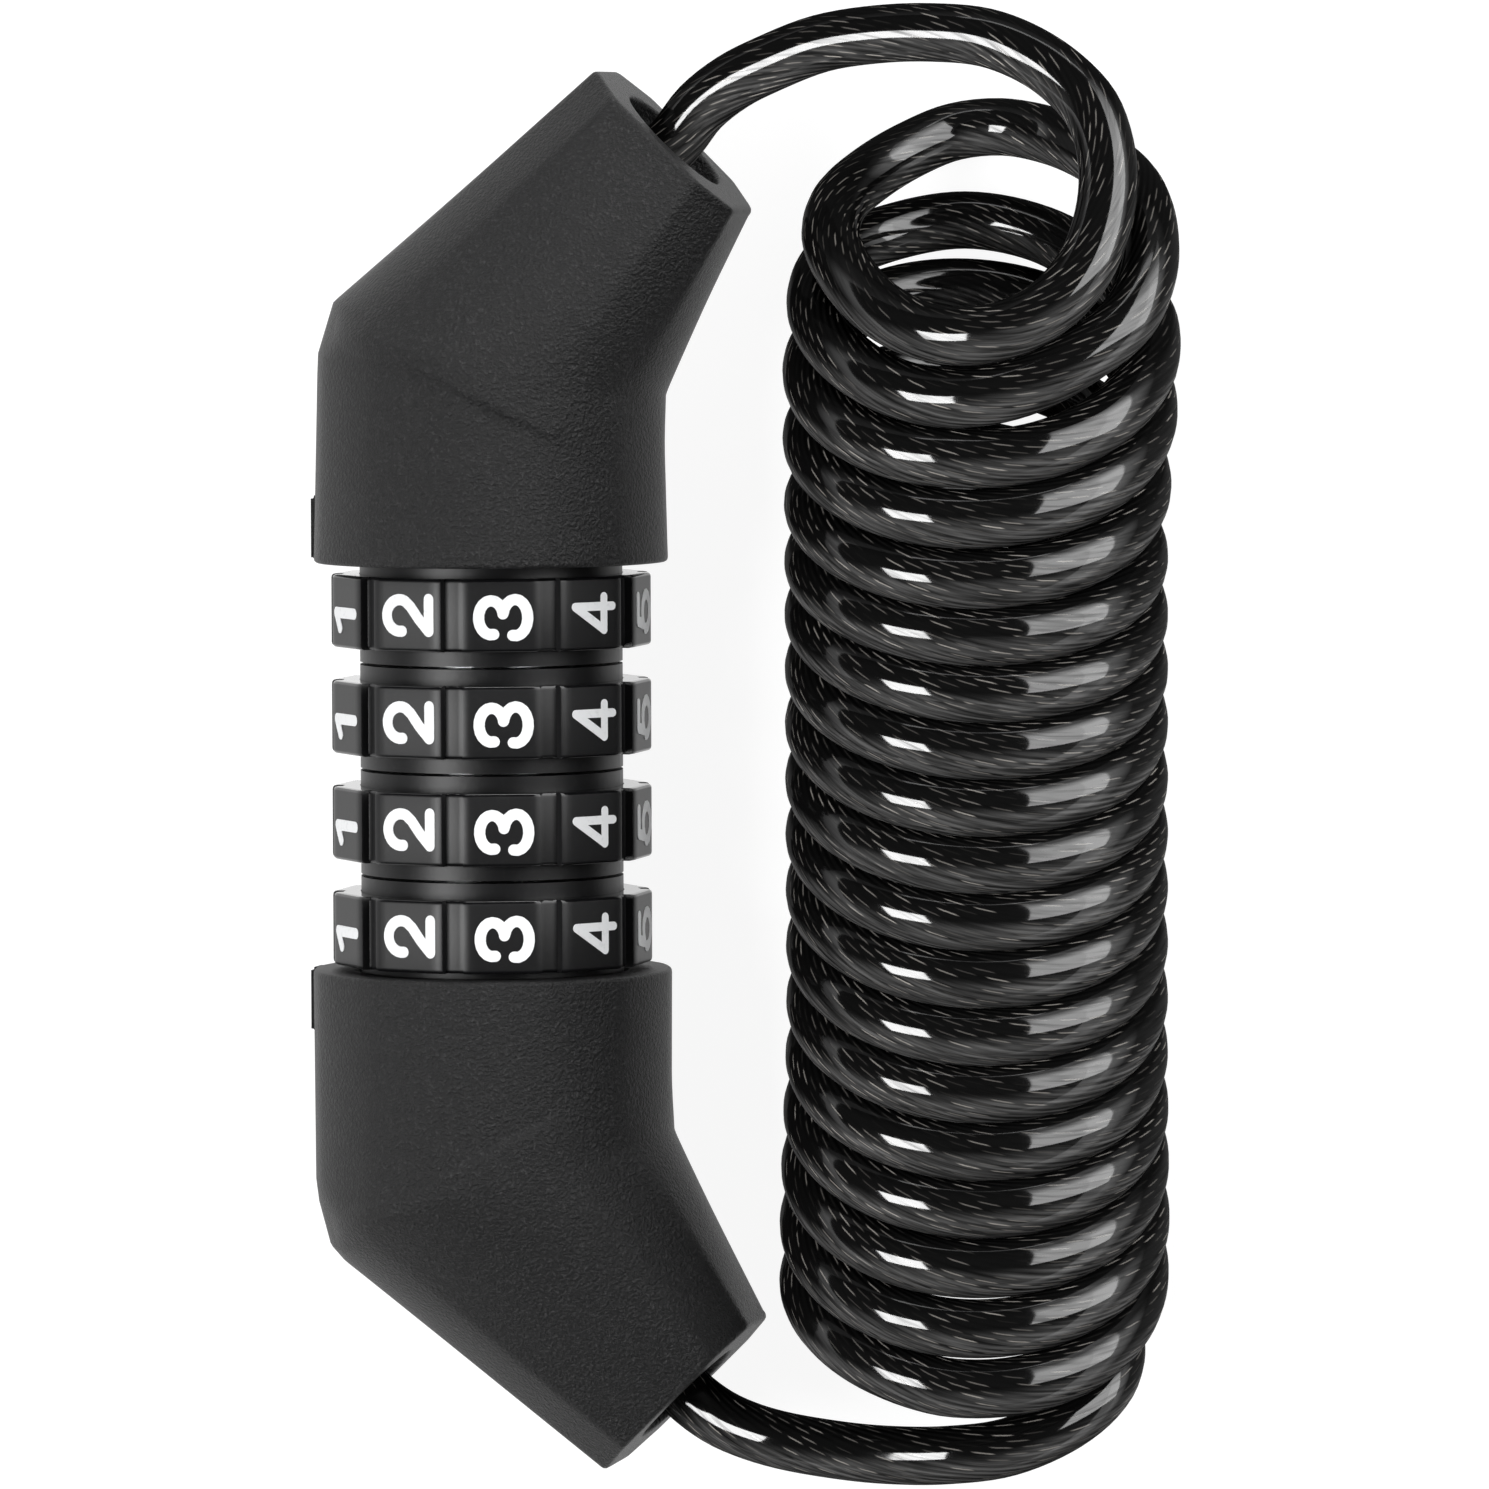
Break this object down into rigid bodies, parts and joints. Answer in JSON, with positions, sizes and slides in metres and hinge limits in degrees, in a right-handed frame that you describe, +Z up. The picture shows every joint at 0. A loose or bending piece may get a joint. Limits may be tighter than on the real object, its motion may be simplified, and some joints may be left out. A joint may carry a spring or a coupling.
{
  "type": "combination cable lock",
  "caption": "Combination cable lock with number dials, two black elbow housings and a smoky black spiral steel cable that joins them.",
  "frame": {"origin": "middle of the lock without its cable, on the table it lies on", "axes": "+Y along the barrel towards the plug, +Z up from the table, +X towards the cable"},
  "size_m": [0.0618, 0.1008, 0.0261],
  "materials": {
    "housing_plastic": "fine spark-eroded grain",
    "dial_plastic": "smooth satin",
    "ring_plastic": "smooth",
    "cable_jacket": "glossy smoky jacket over steel rope",
    "gland_rubber": "matt",
    "zinc": "as cast",
    "ferrule_aluminium": "crimped",
    "lockwork_steel": "turned and plated"
  },
  "bodies": {
    "lock_body": {"lock_housing": "housing_plastic", "lock_core": "zinc", "barrel_tube": "lockwork_steel", "tube_cross_pin": "lockwork_steel", "retaining_ring": "lockwork_steel", "thrust_washer": "lockwork_steel", "click_spring": "lockwork_steel", "lock_ferrule": "ferrule_aluminium", "lock_ferrule_screw": "lockwork_steel", "lock_gland": "gland_rubber", "cable_lower_lead": "cable_jacket", "cable_coil": "cable_jacket"},
    "number_dial_1": {"dial_1": "dial_plastic", "code_ring_1": "ring_plastic"},
    "number_dial_2": {"dial_2": "dial_plastic", "code_ring_2": "ring_plastic"},
    "number_dial_3": {"dial_3": "dial_plastic", "code_ring_3": "ring_plastic"},
    "number_dial_4": {"dial_4": "dial_plastic", "code_ring_4": "ring_plastic"},
    "plug": {"plug_housing": "housing_plastic", "plug_core": "zinc", "locking_pin": "lockwork_steel", "pin_cross_pin": "lockwork_steel", "plug_ferrule": "ferrule_aluminium", "plug_ferrule_screw": "lockwork_steel", "plug_gland": "gland_rubber", "cable_upper_lead": "cable_jacket"}
  },
  "joints": [
    {"name": "dial_1_turn", "type": "hinge", "parent": "lock_body", "child": "number_dial_1", "pos_m": [-0.00298, 0.01121, 0.0126], "axis": [0, 1, 0], "continuous": true},
    {"name": "dial_2_turn", "type": "hinge", "parent": "lock_body", "child": "number_dial_2", "pos_m": [-0.00298, 0.00391, 0.0126], "axis": [0, 1, 0], "continuous": true},
    {"name": "dial_3_turn", "type": "hinge", "parent": "lock_body", "child": "number_dial_3", "pos_m": [-0.00298, -0.00339, 0.0126], "axis": [0, 1, 0], "continuous": true},
    {"name": "dial_4_turn", "type": "hinge", "parent": "lock_body", "child": "number_dial_4", "pos_m": [-0.00298, -0.01069, 0.0126], "axis": [0, 1, 0], "continuous": true},
    {"name": "plug_pull", "type": "slide", "parent": "lock_body", "child": "plug", "axis": [0, 1, 0], "range_m": [0, 0.038]}
  ]
}
